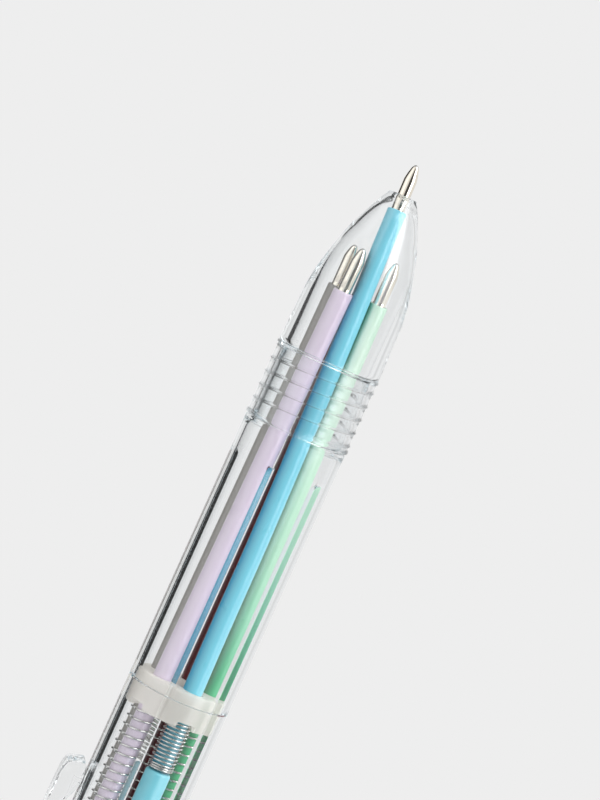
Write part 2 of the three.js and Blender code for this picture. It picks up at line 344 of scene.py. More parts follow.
def math_node(tree, operation, *values):
    inputs = dict(enumerate(values))
    return add_node(tree, "ShaderNodeMath", inputs, operation=operation).outputs[0]


def map_range(tree, value, from_min=0.0, from_max=1.0, to_min=0.0, to_max=1.0, smooth=False):
    inputs = {"Value": value, "From Min": from_min, "From Max": from_max,
              "To Min": to_min, "To Max": to_max}
    kind = "SMOOTHSTEP" if smooth else "LINEAR"
    node = add_node(tree, "ShaderNodeMapRange", inputs, interpolation_type=kind)
    return node.outputs["Result"]


def mix_color(tree, factor, color_a, color_b):
    inputs = {MIX_FACTOR: factor, MIX_A: color_a, MIX_B: color_b}
    return add_node(tree, "ShaderNodeMix", inputs, data_type="RGBA").outputs[MIX_RESULT]


def mix_shader(tree, factor, shader_a, shader_b):
    inputs = {0: factor, 1: shader_a.outputs[0], 2: shader_b.outputs[0]}
    return add_node(tree, "ShaderNodeMixShader", inputs)


def object_coords(tree, scale):
    """Object coordinates, in metres, times a scale for each axis."""
    source = add_node(tree, "ShaderNodeTexCoord").outputs["Object"]
    return add_node(tree, "ShaderNodeMapping", {"Scale": scale, "Vector": source}).outputs["Vector"]


def separate(tree, vector):
    return add_node(tree, "ShaderNodeSeparateXYZ", {0: vector}).outputs


def noise(tree, vector, **inputs):
    inputs["Vector"] = vector
    return add_node(tree, "ShaderNodeTexNoise", inputs).outputs["Fac"]


def add_bump(tree, shader, height, strength, distance):
    inputs = {"Strength": strength, "Distance": distance, "Height": height}
    bump = add_node(tree, "ShaderNodeBump", inputs)
    feed(tree, shader.inputs["Normal"], bump.outputs["Normal"])


def srgb(color):
    """Linear RGBA from 0-255 sRGB."""
    linear = []
    for value in color:
        value = value / 255
        linear.append(value / 12.92 if value <= 0.04045 else ((value + 0.055) / 1.055) ** 2.4)
    return (*linear, 1.0)


# ------------------------------------------------------------------ materials
def ridge_shade_line(tree):
    """1 on a thin line along the flank of the collar's ridge, where painted shade goes, 0
    elsewhere.
    """
    x, y, z = separate(tree, object_coords(tree, (1000.0, 1000.0, 1000.0)))

    def calc(operation, *values):
        return math_node(tree, operation, *values)

    turns = calc("DIVIDE", calc("ARCTAN2", y, x), 2 * math.pi)
    height = calc("DIVIDE", calc("SUBTRACT", z, COLLAR_Z), PITCH)
    phase = calc("FRACT", calc("ADD", calc("SUBTRACT", height, turns), 5.93))
    off = calc("MULTIPLY", calc("ABSOLUTE", calc("SUBTRACT", phase, 0.5)), PITCH)
    line = calc("LESS_THAN", off, 0.05)
    radius = calc("SQRT", calc("ADD", calc("MULTIPLY", x, x), calc("MULTIPLY", y, y)))
    outside = calc("GREATER_THAN", radius, COLLAR_R - 0.02)
    on_collar = calc("MULTIPLY", calc("GREATER_THAN", z, COLLAR_Z + 0.9),
                     calc("LESS_THAN", z, RING_Z - 0.6))
    return calc("MULTIPLY", line, calc("MULTIPLY", outside, on_collar))


def clear_plastic(name, ridge=False):
    """Polished clear plastic. Lamps and bounced light pass straight through it, so that what it
    holds stays lit. ridge: paints shade, a darker line on the flank of the collar's ridge, which
    throws light aside."""
    material, tree, output = new_material(name)
    tint = (0.985, 0.99, 0.992, 1)
    glass = add_node(tree, "ShaderNodeBsdfGlass", {"IOR": 1.49, "Roughness": 0.0, "Color": tint})
    # moulding flow lines, long along the barrel
    flow = noise(tree, object_coords(tree, (900, 900, 60)), Scale=1.0, Detail=2.0, Roughness=0.5)
    add_bump(tree, glass, flow, strength=0.04, distance=0.00002)
    # a very slight haze that varies
    haze = map_range(tree, flow, from_min=0.3, from_max=0.75, to_max=0.012)
    feed(tree, glass.inputs["Roughness"], haze)
    if ridge:
        # painted shade: the glass turns darker grey on that line
        tone = mix_color(tree, ridge_shade_line(tree), tint, (0.70, 0.68, 0.67, 1))
        feed(tree, glass.inputs["Color"], tone)
    passing = add_node(tree, "ShaderNodeBsdfTransparent", {"Color": (0.97, 0.975, 0.98, 1)})
    path = add_node(tree, "ShaderNodeLightPath").outputs
    passes = math_node(tree, "MAXIMUM", path["Is Shadow Ray"], path["Is Diffuse Ray"])
    surface = mix_shader(tree, passes, glass, passing)
    feed(tree, output.inputs["Surface"], surface.outputs[0])
    return material


def ramp_along_pen(tree, vector, ramp):
    """Colour from [(z in mm, sRGB colour)] stations."""
    z = separate(tree, vector)["Z"]
    (first_z, first_color), (last_z, last_color) = ramp[0], ramp[-1]
    along = map_range(tree, z, from_min=first_z * MM, from_max=last_z * MM)
    node = add_node(tree, "ShaderNodeValToRGB")
    stops = node.color_ramp.elements
    stops[0].position, stops[0].color = 0.0, srgb(first_color)
    stops[1].position, stops[1].color = 1.0, srgb(last_color)
    for station_z, color in ramp[1:-1]:
        stops.new((station_z - first_z) / (last_z - first_z)).color = srgb(color)
    feed(tree, node.inputs["Fac"], along)
    return node.outputs["Color"]


def paint_neighbour_shade(tree, color, vector, painted_shade, side, top):
    """Painted shade: deepens the colour on the faces turned away from azimuth side, below top,
    where the refills that stand close would shade them.
    """
    facing = (math.sin(rad(side)), -math.cos(rad(side)), 0)
    normal = add_node(tree, "ShaderNodeNewGeometry").outputs["Normal"]
    dot = add_node(tree, "ShaderNodeVectorMath", {0: normal, 1: facing}, operation="DOT_PRODUCT")
    shade_amount = map_range(tree, dot.outputs["Value"], from_min=-0.9, from_max=0.55,
                       to_min=painted_shade, to_max=0.0, smooth=True)
    if top is not None:
        z = separate(tree, vector)["Z"]
        fade = map_range(tree, z, from_min=(top - 4) * MM, from_max=(top + 4) * MM,
                         to_min=1.0, to_max=0.0, smooth=True)
        shade_amount = math_node(tree, "MULTIPLY", shade_amount, fade)
    shaded_color = add_node(tree, "ShaderNodeGamma", {"Gamma": 2.3, "Color": color}).outputs["Color"]
    return mix_color(tree, shade_amount, color, shaded_color)


def plastic(name, color, second_tone, rough=0.28, sss=0.0, ramp=None, painted_shade=0.0, side=0.0,
            top=None):
    """Moulded or extruded colour, with a second tone that noise mixes in. ramp: [(z in mm,
    colour)] along the pen, in place of color. deep: strength of painted shade, a deeper colour on
    the side turned away from azimuth side, where other refills stand close and shade it. top: the
    Z above which nothing stands close."""
    material, tree, output = new_material(name)
    shader = add_node(tree, "ShaderNodeBsdfPrincipled", {
        "Roughness": rough, "IOR": 1.5, "Coat Weight": 0.35, "Coat Roughness": 0.08,
        "Subsurface Weight": sss, "Subsurface Radius": (0.0006, 0.0006, 0.0006),
        "Subsurface Scale": 1.0})
    vector = object_coords(tree, (1.0, 1.0, 1.0))
    grain = noise(tree, vector, Scale=420.0, Detail=4.0, Roughness=0.55)
    if ramp:
        base = ramp_along_pen(tree, vector, ramp)
    else:
        node = add_node(tree, "ShaderNodeRGB")
        node.outputs[0].default_value = srgb(color)
        base = node.outputs[0]
    blotches = map_range(tree, grain, from_min=0.35, from_max=0.7, to_max=0.12)
    tone = mix_color(tree, blotches, base, srgb(second_tone))
    if painted_shade > 0:
        tone = paint_neighbour_shade(tree, tone, vector, painted_shade, side, top)
    feed(tree, shader.inputs["Base Color"], tone)
    feed(tree, shader.inputs["Roughness"],
         map_range(tree, grain, to_min=rough - 0.05, to_max=rough + 0.07))
    add_bump(tree, shader, grain, strength=0.05, distance=0.00003)
    feed(tree, output.inputs["Surface"], shader.outputs[0])
    return material


def frosted(name, color, see, painted_glow):
    """Milky moulding: part diffuse, part translucent. see: share that is see-through. glow:
    strength of painted light, an emission in the plastic's own tone, though it is no lamp."""
    material, tree, output = new_material(name)
    cloud = noise(tree, object_coords(tree, (1.0, 1.0, 1.0)), Scale=300.0, Detail=3.0)
    tone = mix_color(tree, cloud, srgb(color), srgb(tuple(c - 5 for c in color)))
    # painted light: the plastic glows with its own tone, at strength glow, though it is no lamp
    shader = add_node(tree, "ShaderNodeBsdfPrincipled", {
        "Roughness": 0.42, "IOR": 1.5, "Base Color": tone,
        "Emission Color": tone, "Emission Strength": painted_glow})
    translucent = add_node(tree, "ShaderNodeBsdfTranslucent", {"Color": tone})
    milky = mix_shader(tree, 0.55, shader, translucent)
    passing = add_node(tree, "ShaderNodeBsdfTransparent", {"Color": (0.97, 0.97, 0.965, 1)})
    surface = mix_shader(tree, see, milky, passing)
    add_bump(tree, shader, cloud, strength=0.15, distance=0.00003)
    feed(tree, output.inputs["Surface"], surface.outputs[0])
    return material


def metal(name, color, rough, grain_scale=(700, 700, 700), bump=0.12):
    """Metal whose tone and roughness vary a little with a noise of the given scale."""
    material, tree, output = new_material(name)
    shader = add_node(tree, "ShaderNodeBsdfPrincipled", {"Metallic": 1.0, "Roughness": rough})
    grain = noise(tree, object_coords(tree, grain_scale), Scale=1.0, Detail=3.0)
    tone = mix_color(tree, grain, srgb(color), srgb(tuple(c * 0.9 for c in color)))
    feed(tree, shader.inputs["Base Color"], tone)
    feed(tree, shader.inputs["Roughness"],
         map_range(tree, grain, to_min=rough - 0.06, to_max=rough + 0.08))
    add_bump(tree, shader, grain, strength=bump, distance=0.00001)
    feed(tree, output.inputs["Surface"], shader.outputs[0])
    return material


CLEAR = clear_plastic("clear_barrel")
CLEAR_NOSE = clear_plastic("clear_nose", ridge=True)
CLEAR_CAP = clear_plastic("clear_cap")
# painted light: the guide and the core glow a little, so they look brighter inside the barrel
MILKY = frosted("milky_guide", color=(250, 247, 241), see=0.3, painted_glow=0.22)
MILKY_CORE = frosted("milky_core", color=(240, 240, 238), see=0.12, painted_glow=0.1)
# the nickel's grain is squeezed along Z, which gives fine turned rings
NICKEL = metal("warm_nickel", (252, 244, 230), rough=0.11, grain_scale=(300, 300, 5200), bump=0.24)
BALL = metal("ball_metal", (190, 188, 184), rough=0.08)
WIRE = metal("spring_wire_metal", (215, 215, 212), rough=0.14)

# mint tube along the pen: z, colour. Painted light: deep green at the rear, paler towards the
# front, where stronger light falls on it.
MINT_PAINTED_LIGHT_RAMP = [
    (52, (28, 172, 106)), (68, (36, 184, 116)), (77.5, (78, 188, 132)),
    (85.7, (146, 214, 177)), (93.2, (172, 221, 189)), (104, (186, 226, 199)),
    (114, (204, 226, 207)), (128, (180, 212, 190)),
]
# painted shade: each tube is painted darker on its side turned away from azimuth side, towards its
# neighbours
TUBE = {
    "blue": plastic("blue_tube", (126, 209, 228), (131, 213, 231), painted_shade=1.0, side=66, top=131),
    "mint": plastic("mint_tube", None, (140, 215, 178), ramp=MINT_PAINTED_LIGHT_RAMP, painted_shade=1.0, side=62),
    "red": plastic("red_tube", (150, 30, 50), (160, 36, 56), painted_shade=0.7, side=171),
    "gray": plastic("gray_tube", (140, 136, 130), (132, 128, 122), painted_shade=0.3, side=-117),
    "lavender": plastic("lavender_tube", (217, 204, 220), (213, 199, 216), sss=0.5, painted_shade=0.35,
                        side=-75),
}

# colour, second tone, subsurface weight
SLIDER_COLORS = {
    "blue": ((126, 206, 220), (134, 212, 225), 0.15),
    "mint": ((95, 200, 150), (105, 208, 158), 0.15),
    "red": ((205, 62, 78), (214, 72, 86), 0.15),
    "gray": ((96, 94, 92), (104, 102, 100), 0.1),
    "lavender": ((212, 192, 226), (218, 200, 230), 0.15),
}
SLIDER = {key: plastic(f"{key}_slider", color, second_tone, rough=0.3, sss=weight)
          for key, (color, second_tone, weight) in SLIDER_COLORS.items()}


def register(obj, material, replaced, body=None):
    obj.data.materials.clear()
    obj.data.materials.append(material)
    if body:
        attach(obj, body)
    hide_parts(replaced)


# ------------------------------------------------------------------ nose cone
# outside of the cone from the front down to the ring: radius, z
CONE_OUTSIDE = [
    (1.84, 141.90), (2.18, 141.34), (2.52, 140.74), (3.13, 139.49), (3.67, 138.24),
    (4.20, 136.99), (4.66, 135.74), (5.05, 134.49), (5.38, 133.24), (5.71, 131.99),
    (6.02, 130.74), (6.26, 129.49), (6.44, 128.24), (6.55, 126.99), (6.60, 125.1),
    (6.64, 123.24), (6.69, 121.99), (6.74, 120.74), (OUTER_R, 119.9), (OUTER_R, RING_Z + 0.12),
]
# inside of the cone from the ring up to the tip's hole: radius, z
CONE_INSIDE = [
    (5.43, 120.2), (5.43, 122.5), (5.43, 125.0), (5.45, 127.2), (5.47, 129.0), (5.40, 130.6),
    (5.25, 132.0), (5.00, 133.3), (4.69, 134.45), (4.28, 135.6), (3.84, 136.6), (3.40, 137.65),
    (3.00, 138.55), (2.62, 139.3), (2.20, 139.98), (1.80, 140.5), (1.40, 140.92), (1.12, 141.22),
]


def nose_cone():
    rim = [(1.64, NOSE_Z), (1.76, 141.97)]
    ring = [(6.77, RING_Z + 0.07), (6.86, RING_Z + 0.03), (6.89, RING_Z - 0.04),
            (6.89, RING_Z - 0.18), (6.86, RING_Z - 0.25), (6.74, RING_Z - 0.30)]
    collar_z = np.arange(RING_Z - 0.44, COLLAR_Z + 0.62, -0.04)
    foot = [(6.73, COLLAR_Z + 0.56), (6.88, COLLAR_Z + 0.50), (6.93, COLLAR_Z + 0.40),
            (6.93, COLLAR_Z + 0.16), (6.88, COLLAR_Z + 0.05), (6.78, COLLAR_Z)]
    bore_z = np.arange(COLLAR_Z + 0.9, RING_Z - 0.35, 0.075)
    profile = [
        *rim, *smooth_profile(CONE_OUTSIDE, 4), *ring, *[(COLLAR_R, z) for z in collar_z], *foot,
        (6.16, COLLAR_Z), (NOSE_BORE_R, COLLAR_Z + 0.1), *[(NOSE_BORE_R, z) for z in bore_z],
        (NOSE_BORE_R, RING_Z - 0.02), (INNER_R, RING_Z), (5.50, RING_Z), (5.43, RING_Z + 0.08),
        *smooth_profile(CONE_INSIDE, 4), (1.08, 141.30), (1.08, 141.88), (1.18, NOSE_Z),
    ]
    verts, faces = revolve(profile, 200)
    # the ridge round the collar, then the thread grooves in its bore
    verts = add_thread(verts, COLLAR_R, (collar_z[-1] - 0.001, collar_z[0] + 0.001),
                       height=0.16, half_width=0.19, fade=0.25, phase=0.88)
    verts = add_thread(verts, NOSE_BORE_R, (bore_z[0] - 0.001, bore_z[-1] + 0.001),
                       height=0.03, half_width=0.45, fade=0.4, phase=0.05)
    obj = make_object("nose_cone_shell", verts, faces, 65.0)
    register(obj, CLEAR_NOSE, "nose_cone", "nose")


nose_cone()


# ------------------------------------------------------------------ barrels
def wall_reach(foot):
    """Reach of the bore's wall at a distance across from a rib's middle."""
    return math.sqrt(INNER_R ** 2 - foot ** 2)


def bore_section():
    """The bore's contour as (azimuth, depth inside the wall), along growing azimuth."""
    section = []
    ribs = sorted(RIBS, key=lambda rib: rib[0] % 360)
    for i, (az, foot, crest, shift, reach, rounding) in enumerate(ribs):
        wall = wall_reach(foot)
        corners = [(-foot, wall), (shift - crest, reach), (shift + crest, reach), (foot, wall)]
        line = fillet(corners, [0, rounding, rounding, 0], 6)
        # long stretches, the flanks, get points along them too
        points = []
        for start, end in zip(line[:-1], line[1:]):
            parts = 6 if math.dist(start, end) > 0.3 else 1
            points += [(start[0] + (end[0] - start[0]) * j / parts,
                        start[1] + (end[1] - start[1]) * j / parts) for j in range(parts)]
        points.append(line[-1])
        last = -1e9
        for across, height in points:
            # the azimuth always grows, so that the contour never folds back
            last = max(math.degrees(math.atan2(across, height)), last + 0.01)
            section.append((az % 360 + last, max(0.0, INNER_R - math.hypot(across, height))))
        # bare wall up to the next rib
        half = math.degrees(math.asin(foot / INNER_R))
        next_az, next_foot = ribs[(i + 1) % 5][:2]
        stop = (next_az % 360 + (360 if i == 4 else 0)
                - math.degrees(math.asin(next_foot / INNER_R)))
        section += [(t, 0.0) for t in np.linspace(az % 360 + max(half, last), stop, 26)[1:-1]]
    return section


SECTION = bore_section()


def barrel_ring(z, base_r, rib=0.0):
    """Ring of radius base_r, less rib times the section's depth at each azimuth."""
    points = []
    for az, depth in SECTION:
        radius = base_r - rib * depth
        points.append((radius * math.sin(rad(az)), -radius * math.cos(rad(az)), z))
    return np.array(points)


def front_barrel():
    thread_z = np.arange(COLLAR_Z + 0.1, RING_Z - 0.5, 0.1)
    # z, radius and, in the bore, height of the ribs: up the outside, then down the inside
    stations = [
        (SEAM_Z + JOINT_GAP, OUTER_R - 0.10), (SEAM_Z + 0.13, OUTER_R), (74.5, OUTER_R),
        *[(z, OUTER_R) for z in np.linspace(78, 106, 8)],
        (COLLAR_Z - 0.55, OUTER_R), (COLLAR_Z - 0.24, OUTER_R), (COLLAR_Z - 0.14, OUTER_R - 0.1),
        (COLLAR_Z - 0.14, 5.94),
        # spigot
        *[(z, SPIGOT_R) for z in thread_z],
        (RING_Z - 0.26, SPIGOT_R), (RING_Z - 0.18, 5.84), (RING_Z - 0.16, 5.78),
        (RING_Z - 0.16, 5.52), (RING_Z - 0.22, 5.45), (RING_Z - 0.30, 5.43),
        (116, 5.43), (113, 5.43), (110.6, 5.43),
        (110.2, 5.45), (109.7, 5.60), (109.1, 5.85), (108.6, 6.00), (108.0, INNER_R),
        (106.5, INNER_R),
        # the ribs rise from the bore with a rounded end
        *[(RIB_END_Z - 0.9 * (1 - math.cos(t * math.pi / 2)), INNER_R, math.sin(t * math.pi / 2))
          for t in np.linspace(0, 1, 7)],
        *[(z, INNER_R, 1.0) for z in np.linspace(102, 76, 8)],
        (SEAM_Z + JOINT_GAP, INNER_R, 1.0),
    ]
    verts, faces = skin([barrel_ring(*station) for station in stations], closed=True)
    verts = add_thread(verts, SPIGOT_R, (thread_z[0] - 0.01, thread_z[-1] + 0.01),
                       height=0.025, half_width=0.45, fade=0.6, phase=0.05)
    obj = make_object("front_barrel_tube", verts, faces, 40.0)
    register(obj, CLEAR, "front_barrel", "barrel")


front_barrel()

# slots for the sliders' buttons, with round ends
SLOT_HALF, SLOT_Z0, SLOT_Z1 = 1.45, 20.5, 44.1


def rear_barrel():
    top, bottom = SEAM_Z - JOINT_GAP, REAR_Z + JOINT_GAP
    # z, radius and, in the bore, height of the ribs: up the outside, then down the inside
    stations = [
        (bottom, OUTER_R - 0.1), (bottom + 0.1, OUTER_R),
        *[(z, OUTER_R) for z in np.linspace(18, 70, 14)],
        (top - 0.1, OUTER_R), (top, OUTER_R - 0.1), (top, INNER_R, 1.0),
        *[(z, INNER_R, 1.0) for z in np.linspace(70, 20, 14)],
        # the ribs' rounded rear end
        *[(17.2 + 0.9 * (1 - math.cos(t * math.pi / 2)), INNER_R, math.sin(t * math.pi / 2))
          for t in np.linspace(1, 0, 6)],
        (bottom, INNER_R),
    ]
    rings = [barrel_ring(*station) for station in stations]
    obj = make_object("rear_barrel_tube", *skin(rings, closed=True), 30.0)
    slot = stadium(SLOT_HALF, SLOT_Z1 - SLOT_HALF, SLOT_Z0 + SLOT_HALF, 16)
    cut_with(obj, "slot_cutter", [radial_prism(slot, unit.az, 5.0, 8.0) for unit in UNITS])
    shade(obj.data, 30)
    register(obj, CLEAR, "rear_barrel", "barrel")


rear_barrel()

# ------------------------------------------------------------------ spring guide
GUIDE_BORE_R, GUIDE_BORE_REACH = 1.77, 3.79    # bores for the springs, open to the rear
GUIDE_HOLE_R = 1.42                            # slotted holes for the tubes in the front wall
GUIDE_HOLE_FAR, GUIDE_HOLE_NEAR = 3.80, 3.56   # reach of a slotted hole's two centres


def guide_bore(unit, segments=32):
    x, y, _ = place(unit.az, 0, GUIDE_BORE_REACH)
    angles = [2 * math.pi * k / segments for k in range(segments)]
    return skin([[(x + GUIDE_BORE_R * math.cos(t), y + GUIDE_BORE_R * math.sin(t), z)
                  for t in angles] for z in (GUIDE_Z0 - 1, GUIDE_Z1 - 0.4)])


def rib_groove(az, foot, crest, shift, reach, _rounding):
    """Room for one barrel rib, 0.1 mm larger on each side."""
    wall = wall_reach(foot)
    loop = [(-foot - 0.1, 6.4), (-foot - 0.1, wall), (shift - crest - 0.1, reach - 0.1),
            (shift + crest + 0.1, reach - 0.1), (foot + 0.1, wall), (foot + 0.1, 6.4)]
    return axial_prism(loop, az, GUIDE_Z0 - 1, GUIDE_Z1 + 1)


def spring_guide():
    profile = [
        (0, GUIDE_Z0), (5.74, GUIDE_Z0), (5.84, GUIDE_Z0 + 0.03), (5.90, GUIDE_Z0 + 0.1),
        (5.92, GUIDE_Z0 + 0.2), (5.92, GUIDE_Z1 - 0.3), (5.89, GUIDE_Z1 - 0.18),
        (5.82, GUIDE_Z1 - 0.07), (5.72, GUIDE_Z1 - 0.01), (5.64, GUIDE_Z1), (0, GUIDE_Z1),
    ]
    obj = lathe("spring_guide_plug", profile, 120)
    cut_with(obj, "guide_cut_a", [guide_bore(unit) for unit in UNITS])
    # notch in the rear rim, where each spring's bore comes close to the outside
    notch = [(-1.2, GUIDE_Z0 - 1), (1.2, GUIDE_Z0 - 1), (1.2, GUIDE_Z0 + 0.55),
             (1.13, GUIDE_Z0 + 0.68), (1.0, GUIDE_Z0 + 0.75), (-1.0, GUIDE_Z0 + 0.75),
             (-1.13, GUIDE_Z0 + 0.68), (-1.2, GUIDE_Z0 + 0.55)]
    cut_with(obj, "guide_cut_n", [radial_prism(notch, unit.az, 3.9, 6.4) for unit in UNITS])
    hole = stadium(GUIDE_HOLE_R, GUIDE_HOLE_FAR, GUIDE_HOLE_NEAR, 12)
    cut_with(obj, "guide_cut_b",
             [axial_prism(hole, unit.az, GUIDE_Z1 - 1.2, GUIDE_Z1 + 1) for unit in UNITS])
    cut_with(obj, "guide_cut_c", [rib_groove(*rib) for rib in RIBS])
    shade(obj.data, 30)
    register(obj, MILKY, "spring_guide", "barrel")


spring_guide()

# ------------------------------------------------------------------ latch core
FIN_STEP = 72
FIN_AZ = range(63, 360, FIN_STEP)
# z, radius of the hub, reach of the fins, half thickness of the fins
CORE_STATIONS = [
    (2.35, 1.9, 4.4, 0.45), (3.4, 2.0, 4.5, 0.45), (17.5, 2.0, 4.5, 0.45),
    (18.5, 2.0, 4.68, 0.45), (28.9, 2.0, 4.68, 0.45), (29.3, 2.2, 4.68, 0.45),
    (30.4, 2.2, 4.68, 0.45), (31.2, 1.55, 4.68, 0.45), (40.0, 1.5, 4.68, 0.45),
    (47.2, 1.5, 4.68, 0.45), (47.9, 1.5, 4.2, 0.42), (48.2, 1.45, 2.0, 0.35),
    (49.4, 1.3, 1.4, 0.3), (49.9, 0.95, 1.0, 0.2),
]


def star_ring(z, hub_r, reach, half):
    """Section of a round hub with five round-ended fins."""
    root = math.sqrt(hub_r * hub_r - half * half)
    end_r = min(half * 0.98, (reach - root) * 0.5)
    side = [(-half, root), (-half, root + (reach - root) * 0.5), (-half, reach - end_r)]
    tip = [(-half * math.cos(t), reach - end_r + end_r * math.sin(t))
           for t in np.linspace(0, math.pi, 9)[1:-1]]
    fin = side + tip + [(-across, height) for across, height in side[::-1]]
    root_angle = math.degrees(math.asin(half / hub_r))
    points = []
    for az in FIN_AZ:
        points += [place(az, across, height, z) for across, height in fin]
        for t in np.linspace(az + root_angle, az + FIN_STEP - root_angle, 8)[1:-1]:
            points.append((hub_r * math.sin(rad(t)), -hub_r * math.cos(rad(t)), z))
    return np.array(points)


def latch_core():
    rings = [star_ring(*station) for station in CORE_STATIONS]
    obj = make_object("latch_core_post", *skin(rings), 40.0)
    register(obj, MILKY_CORE, "latch_core", "barrel")


latch_core()

# ------------------------------------------------------------------ end cap
CAP_ROUND = 0.8    # rounding of the rear edge


def clip_block(name, reach_0, reach_1, width, z_0, z_1, rounding):
    """Block across the clip's azimuth, rounded on its two outer edges."""
    corners = [(reach_0, z_0), (reach_1, z_0), (reach_1, z_1), (reach_0, z_1)]
    loop = fillet(corners, [0, rounding, rounding, 0], 5)
    solid = skin([[(x, -reach, z) for reach, z in loop] for x in (-width / 2, width / 2)])
    return turn(make_object(name, *solid), CLIP_AZ)


def end_cap():
    profile = [
        (0, 0), (OUTER_R - CAP_ROUND, 0),
        *[(OUTER_R - CAP_ROUND + CAP_ROUND * math.sin(t), CAP_ROUND - CAP_ROUND * math.cos(t))
          for t in np.linspace(0, math.pi / 2, 8)[1:]],
        (OUTER_R, 4.0), (OUTER_R, 9.0), (OUTER_R, REAR_Z - 0.12),
        (OUTER_R - 0.1, REAR_Z - JOINT_GAP), (5.93, REAR_Z - JOINT_GAP), (5.93, 16.6),
        (5.8, 16.78), (5.1, 16.78), (4.92, 16.6), (4.92, 2.4), (4.5, 2.02), (0, 2.02),
    ]
    obj = lathe("end_cap_shell", profile, 128, 30.0)
    # the block that carries the clip, then the notch that leaves a cheek on each side of it
    boolean(obj, clip_block("cap_block", 5.9, 8.6, CLIP_WIDTH, 2.2, 10.2, 0.6), "UNION")
    boolean(obj, clip_block("cap_notch", 6.92, 9.2, 3.0, 1.5, 11.0, 0.0))
    shade(obj.data, 30)
    register(obj, CLEAR_CAP, "end_cap", "barrel")


end_cap()

# ------------------------------------------------------------------ clip
CLIP_BEVEL = 0.14
# side view of the clip, counterclockwise from the inner rear corner: reach, z, corner rounding
CLIP_SIDE = [
    (7.3, 2.6, 0.3), (8.9, 2.6, 0.3), (9.4, 3.0, 0.5), (9.75, 3.8, 1.0), (9.86, 6.0, 2.0),
    (9.86, 57.0, 3.0), (9.80, 59.4, 0.8), (9.50, 60.45, 0.6), (9.0, 60.78, 0.4),
    (7.35, 61.12, 0.22), (7.1, 60.7, 0.22), (6.93, 59.6, 0.3), (6.93, 58.0, 0.5),
    (7.35, 56.6, 1.0), (8.0, 55.2, 2.0), (8.36, 52.0, 3.0), (8.36, 14.0, 2.0),
    (8.1, 11.6, 1.0), (7.3, 10.6, 0.3),
]
# what is cut off both flanks, at the rear end and at the foot near the front end:
# label, distance of the cut from the middle, y range, z range
CLIP_CUTS = [
    ("cut", 1.15, (-6.0, -11.0), (1.0, 11.5)),
    ("foot", 1.5, (-6.0, -7.75), (53.0, 58.5)),
]


def bevelled_prism(loop, half, bevel, steps=3):
    """Counterclockwise (reach, z) loop extruded half to each side, with bevelled edges that are
    made by insetting the loop."""
    points = np.array(loop, float)
    edge = np.roll(points, -1, 0) - points
    edge /= np.linalg.norm(edge, axis=1)[:, None]
    normal = np.stack([edge[:, 1], -edge[:, 0]], 1)
    outward = normal + np.roll(normal, 1, 0)
    outward /= np.sum(outward * normal, 1)[:, None]
    rings = []
    for side in (-1, 1):
        angles = np.linspace(0, math.pi / 2, steps + 1)[::-side]
        for t in angles:
            x = side * (half - bevel * (1 - math.cos(t)))
            inset = points - outward * (bevel * (1 - math.sin(t)))
            rings.append(np.stack([np.full(len(points), x), -inset[:, 0], inset[:, 1]], 1))
    # the loop above runs each side's bevel from the flank inwards or outwards, low x to high x
    return skin(rings)


def box(name, x_range, y_range, z_range):
    (x_0, x_1), (y_0, y_1) = x_range, y_range
    verts = [(x, y, z) for z in z_range
             for x, y in ((x_0, y_0), (x_1, y_0), (x_1, y_1), (x_0, y_1))]
    faces = [(0, 1, 2, 3), (7, 6, 5, 4), (0, 4, 5, 1), (1, 5, 6, 2), (2, 6, 7, 3), (3, 7, 4, 0)]
    return make_object(name, verts, faces, smooth=False)


def add_cross_rows(mesh):
    """Cross rows across the arm near its rear end."""
    work = bmesh.new()
    work.from_mesh(mesh)
    for z in np.arange(3.5, 20.0, 0.75):
        geom = work.verts[:] + work.edges[:] + work.faces[:]
        bmesh.ops.bisect_plane(work, geom=geom, plane_co=(0, 0, z * MM), plane_no=(0, 0, 1),
                               dist=1e-8)
    work.to_mesh(mesh)
    work.free()


def clip():
    corners = [(reach, z) for reach, z, _ in CLIP_SIDE]
    loop = fillet(corners, [rounding for _, _, rounding in CLIP_SIDE], 6)
    obj = make_object("clip_arm", *bevelled_prism(loop, CLIP_WIDTH / 2, CLIP_BEVEL), 30.0)
    for label, from_middle, y_range, z_range in CLIP_CUTS:
        for side in (-1, 1):
            x_range = sorted((side * from_middle, side * 3.0))
            boolean(obj, box(f"clip_{label}_{side}", x_range, y_range, z_range))
    shade(obj.data, 30)
    add_cross_rows(obj.data)
    turn(obj, CLIP_AZ)
    register(obj, CLEAR_CAP, "clip")
    start, end = (tuple(c * MM for c in place(CLIP_AZ, 0, 8.5, z)) for z in (3.0, 16.0))
    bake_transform(obj)


clip()

# ------------------------------------------------------------------ sliders
# All z are counted from the slider's front face.
# round pin, which goes inside the tube, and the step to the plunger: z, radius
PIN_ROWS = [(3.25, 0.30), (3.05, 0.55), (2.80, 0.62), (0.05, 0.62), (0.00, 0.70), (0.00, 1.18)]
PLUNGER_R, SHOULDER = 1.6, 0.42
GRIP_PITCH = 1.15
